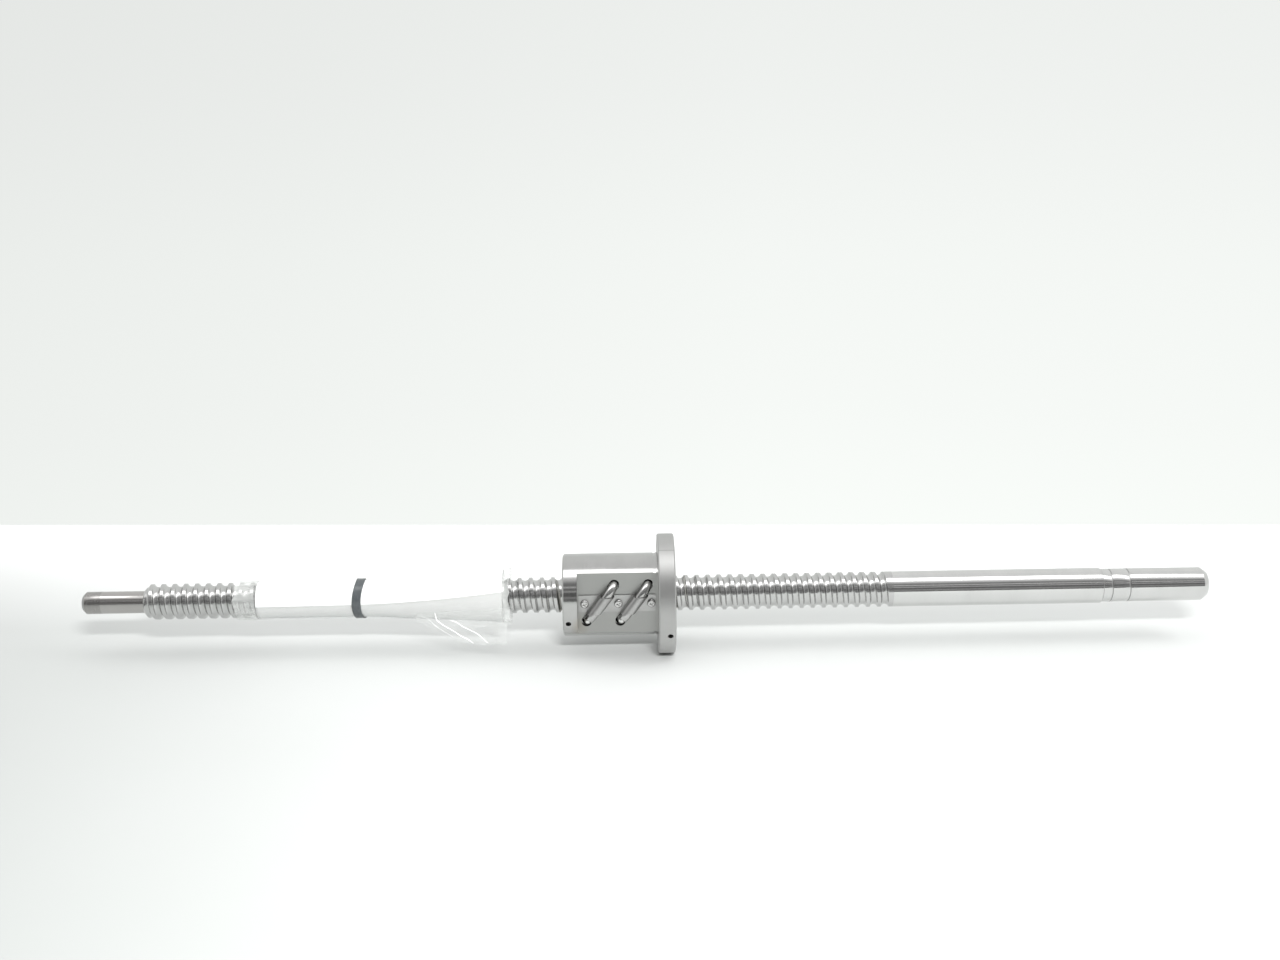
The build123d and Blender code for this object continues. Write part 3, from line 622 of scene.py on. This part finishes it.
def film_tail():
    """Loose end of the bag, gathered under the mouth and lying low in front."""
    nu, nv = 110, 60
    verts, faces, mi = [], [], []

    def sheet_point(u, v):
        # u runs along the screw, v from the roll down and out
        x = -216.0 + 82.0 * u
        top_b = math.radians(-8.0 - 16.0 * (1 - u))
        r = film_radius(x, top_b) + 0.2
        p0 = Vector((x, -r * math.cos(top_b), r * math.sin(top_b)))
        drop = 6.0 + 23.0 * math.sin(min(u * 1.25, 1.0) * math.pi / 2)
        p1 = Vector((x - 1.0 * v, p0.y - 2.0 - 9.0 * u * v, p0.z - drop))
        p = p0.lerp(p1, v)
        p.y -= 3.2 * math.sin(v * math.pi) * (0.3 + 0.7 * u)
        n = noise.noise(Vector((x * 0.06, v * 3.0, 2.0)))
        n2 = 1.0 - abs(noise.noise(Vector((x * 0.09 + v * 2.2, v * 4.0, 8.0)))) * 2.0
        p.y -= (1.6 * n + 1.5 * max(n2, 0) ** 3) * min(v * 4, 1.0)
        p.z += 1.2 * noise.noise(Vector((x * 0.08 + 4, v * 2.0, 5.0))) * min(v * 4, 1.0)
        return p

    for i in range(nu + 1):
        for j in range(nv + 1):
            verts.append(sheet_point(i / nu, j / nv) * MM)
    for i in range(nu):
        for j in range(nv):
            a = i * (nv + 1) + j
            faces.append([a, a + 1, a + nv + 2, a + nv + 1])
            mi.append(0)

    def fold(points, w):
        """A doubled crease: a narrow raised ribbon along the points (u, v)."""
        start = len(verts)
        pts = []
        for k in range(len(points) - 1):
            for s in range(8):
                f = s / 8
                pts.append(tuple(points[k][q] * (1 - f) + points[k + 1][q] * f for q in (0, 1)))
        pts.append(points[-1])
        for k, (u, v) in enumerate(pts):
            p = sheet_point(u, v)
            d = sheet_point(pts[min(k + 1, len(pts) - 1)][0], pts[min(k + 1, len(pts) - 1)][1]) - sheet_point(pts[max(k - 1, 0)][0], pts[max(k - 1, 0)][1])
            side = d.cross(Vector((0, -1, 0)))
            side.normalize()
            taper = math.sin(min(k / 4, (len(pts) - 1 - k) / 4, 1.0) * math.pi / 2) * 0.8 + 0.2
            ww = w * taper
            for a, h in ((-1.0, 0.1), (-0.45, 0.9), (0.0, 1.3), (0.45, 0.9), (1.0, 0.1)):
                q = p + side * (a * ww) + Vector((0, -h * ww, 0))
                verts.append(q * MM)
        for k in range(len(pts) - 1):
            for a in range(4):
                b = start + k * 5 + a
                faces.append([b, b + 1, b + 6, b + 5])
                mi.append(1)

    fold([(0.20, 0.02), (0.23, 0.42), (0.32, 0.62), (0.48, 0.80), (0.64, 1.0)], 0.55)
    fold([(0.36, 0.34), (0.52, 0.50), (0.60, 0.56), (0.70, 0.74), (0.80, 0.96)], 0.45)
    fold([(0.04, 0.25), (0.16, 0.62), (0.30, 0.86), (0.42, 0.98)], 0.18)
    o = new_object("film_tail_crumpled", verts, faces, [FILM_TAIL_PAINTED_SHADE, FILM_FOLD], mi)
    return o


tail = film_tail()
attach(tail, "wrap")
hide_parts("film_tail")

# ------------------------------------------------------------------ floor, backdrop and light
FLOOR_Z = -0.0542


def floor_material():
    m = Nodes("pale_table")
    a = m.noise(m.scaled((3.0, 3.0, 3.0)), 1.0, 4.0, 0.5)
    x, y, z = m.xyz()
    worn = m.ramp(a, [(0.3, (0.55, 0.565, 0.555, 1)), (0.7, (0.575, 0.585, 0.58, 1))])
    # painted light: the table is made paler towards the back
    painted_light_back = m.map(y, 0.0, 1.0, 0.08, 0.36)
    # painted shade: the table greys towards the near left corner
    painted_shade_near_left = m.map(m.math("ADD", m.math("MULTIPLY", x, -1.0), m.math("MULTIPLY", y, -0.9)), 0.0, 1.0, 0.30, 0.95)
    tone = m.mix(painted_light_back, worn, (0.90, 0.91, 0.905, 1))
    tone = m.mix(painted_shade_near_left, tone, (0.38, 0.395, 0.385, 1))
    m.link(tone, m.p.inputs["Base Color"])
    m.set(Roughness=0.6)
    return m.mat


floor = new_object("floor", [(-4, -4, FLOOR_Z), (4, -4, FLOOR_Z), (4, 0.160, FLOOR_Z), (-4, 0.631, FLOOR_Z)], [[0, 1, 2, 3]], [floor_material()], smooth=False)

world = bpy.data.worlds.new("studio")
scene.world = world
world.use_nodes = True
wt = world.node_tree
for n in list(wt.nodes):
    wt.nodes.remove(n)
wo = wt.nodes.new("ShaderNodeOutputWorld")
bg = wt.nodes.new("ShaderNodeBackground")
tc = wt.nodes.new("ShaderNodeTexCoord")
sx = wt.nodes.new("ShaderNodeSeparateXYZ")
wt.links.new(tc.outputs["Generated"], sx.inputs[0])
neg = wt.nodes.new("ShaderNodeMath"); neg.operation = "MULTIPLY"; neg.inputs[1].default_value = -1.0
wt.links.new(sx.outputs["Y"], neg.inputs[0])
at = wt.nodes.new("ShaderNodeMath"); at.operation = "ARCTAN2"
wt.links.new(sx.outputs["Z"], at.inputs[0]); wt.links.new(neg.outputs[0], at.inputs[1])
mr = wt.nodes.new("ShaderNodeMapRange")
mr.inputs["From Min"].default_value = -math.pi
mr.inputs["From Max"].default_value = math.pi
wt.links.new(at.outputs[0], mr.inputs["Value"])
cr = wt.nodes.new("ShaderNodeValToRGB")
stops = [(-180, (0.865, 0.885, 0.865)), (-174, (0.905, 0.93, 0.905)), (-168, (0.925, 0.95, 0.925)), (-163, (0.955, 0.985, 0.955)), (-150, (0.9, 0.9, 0.9)),
         (-120, (0.7, 0.7, 0.7)), (-40, (0.6, 0.6, 0.6)), (-8, (0.30, 0.30, 0.30)), (0, (0.20, 0.20, 0.20)), (7, (0.20, 0.20, 0.20)), (10, (0.50, 0.50, 0.50)), (13, (0.17, 0.17, 0.17)),
         (24, (0.16, 0.16, 0.16)), (27, (0.75, 0.75, 0.75)), (30, (0.17, 0.17, 0.17)), (36, (0.24, 0.24, 0.24)), (39, (0.95, 0.95, 0.95)), (42, (0.22, 0.22, 0.22)),
         (50, (0.30, 0.30, 0.30)), (59, (0.75, 0.75, 0.75)), (67, (1.0, 1.0, 1.0)), (70, (1.5, 1.5, 1.5)), (89, (1.5, 1.5, 1.5)),
         (94, (0.90, 0.90, 0.90)), (130, (0.96, 0.97, 0.96)), (165, (0.90, 0.92, 0.90)), (176.5, (0.85, 0.87, 0.85)), (180, (0.865, 0.885, 0.865))]
els = cr.color_ramp.elements
els[0].position, els[0].color = 0.0, tuple(stops[0][1]) + (1,)
els[1].position, els[1].color = 1.0, tuple(stops[-1][1]) + (1,)
for deg, col in stops[1:-1]:
    e = els.new((deg + 180) / 360)
    e.color = tuple(col) + (1,)
wt.links.new(mr.outputs[0], cr.inputs["Fac"])
# what the steel mirrors is the room above; seen directly, the room is a plain pale wall all round
rise = wt.nodes.new("ShaderNodeMath"); rise.operation = "ARCSINE"
wt.links.new(sx.outputs["Z"], rise.inputs[0])
rr = wt.nodes.new("ShaderNodeMapRange")
rr.inputs["From Min"].default_value = -math.pi / 2
rr.inputs["From Max"].default_value = math.pi / 2
wt.links.new(rise.outputs[0], rr.inputs["Value"])
wall = wt.nodes.new("ShaderNodeValToRGB")
wall_stops = [(-90, (0.88, 0.90, 0.88)), (-30, (0.93, 0.955, 0.93)), (-17, (0.955, 0.985, 0.955)), (-12, (0.925, 0.95, 0.925)), (-6, (0.905, 0.93, 0.905)),
              (0, (0.865, 0.885, 0.865)), (3.5, (0.85, 0.87, 0.85)), (15, (0.90, 0.92, 0.90)), (90, (0.93, 0.94, 0.93))]
we = wall.color_ramp.elements
we[0].position, we[0].color = 0.0, wall_stops[0][1] + (1,)
we[1].position, we[1].color = 1.0, wall_stops[-1][1] + (1,)
for deg, col in wall_stops[1:-1]:
    e = we.new((deg + 90) / 180)
    e.color = col + (1,)
wt.links.new(rr.outputs["Result"], wall.inputs["Fac"])
seen = wt.nodes.new("ShaderNodeLightPath")
pick = wt.nodes.new("ShaderNodeMixRGB")
wt.links.new(seen.outputs["Is Camera Ray"], pick.inputs["Fac"])
# the side walls of the room are pale too
off = wt.nodes.new("ShaderNodeMath"); off.operation = "ABSOLUTE"
wt.links.new(sx.outputs["X"], off.inputs[0])
so = wt.nodes.new("ShaderNodeMapRange")
so.inputs["From Min"].default_value = 0.74
so.inputs["From Max"].default_value = 0.98
wt.links.new(off.outputs[0], so.inputs["Value"])
sides = wt.nodes.new("ShaderNodeMixRGB")
sides.inputs["Color2"].default_value = (0.90, 0.91, 0.90, 1)
wt.links.new(so.outputs["Result"], sides.inputs["Fac"])
wt.links.new(cr.outputs["Color"], sides.inputs["Color1"])
wt.links.new(sides.outputs["Color"], pick.inputs["Color1"])
wt.links.new(wall.outputs["Color"], pick.inputs["Color2"])
wt.links.new(pick.outputs["Color"], bg.inputs["Color"])
# the room is a little darker to the left
side = wt.nodes.new("ShaderNodeMapRange")
side.inputs["From Min"].default_value = -0.45
side.inputs["From Max"].default_value = 0.10
side.inputs["To Min"].default_value = 0.91
side.inputs["To Max"].default_value = 1.0
wt.links.new(sx.outputs["X"], side.inputs["Value"])
wt.links.new(side.outputs["Result"], bg.inputs["Strength"])
wt.links.new(bg.outputs[0], wo.inputs[0])


def area(name, elevation, distance, length, width, watts, x=0.0, mirrored=True, lights=True):
    """Area light over the screw, its long side along X; elevation is measured from the front (-Y) horizon over the top."""
    d = bpy.data.lights.new(name, "AREA")
    d.shape = "RECTANGLE"
    d.size, d.size_y = length, width
    d.energy = watts
    o = bpy.data.objects.new(name, d)
    scene.collection.objects.link(o)
    o.visible_glossy = mirrored
    o.visible_diffuse = lights
    e = math.radians(elevation)
    out = Vector((0, -math.cos(e), math.sin(e)))
    ax = Vector((1, 0, 0))
    o.matrix_world = Matrix.Translation(Vector((x, 0, 0)) + out * distance) @ Matrix((ax, out.cross(ax), out)).transposed().to_4x4()
    return o


area("soft_box_top", 80.0, 1.6, 3.4, 0.60, 11.5, 0.30, lights=False)
area("ceiling_bounce", 80.0, 1.7, 3.4, 2.4, 15.0, 0.20, mirrored=False)
area("key_lamp", 33.0, 1.8, 0.36, 0.10, 34.0, 0.15, mirrored=False)
area("fill_right", 70.0, 1.5, 0.8, 0.8, 10.0, 1.40, mirrored=False)
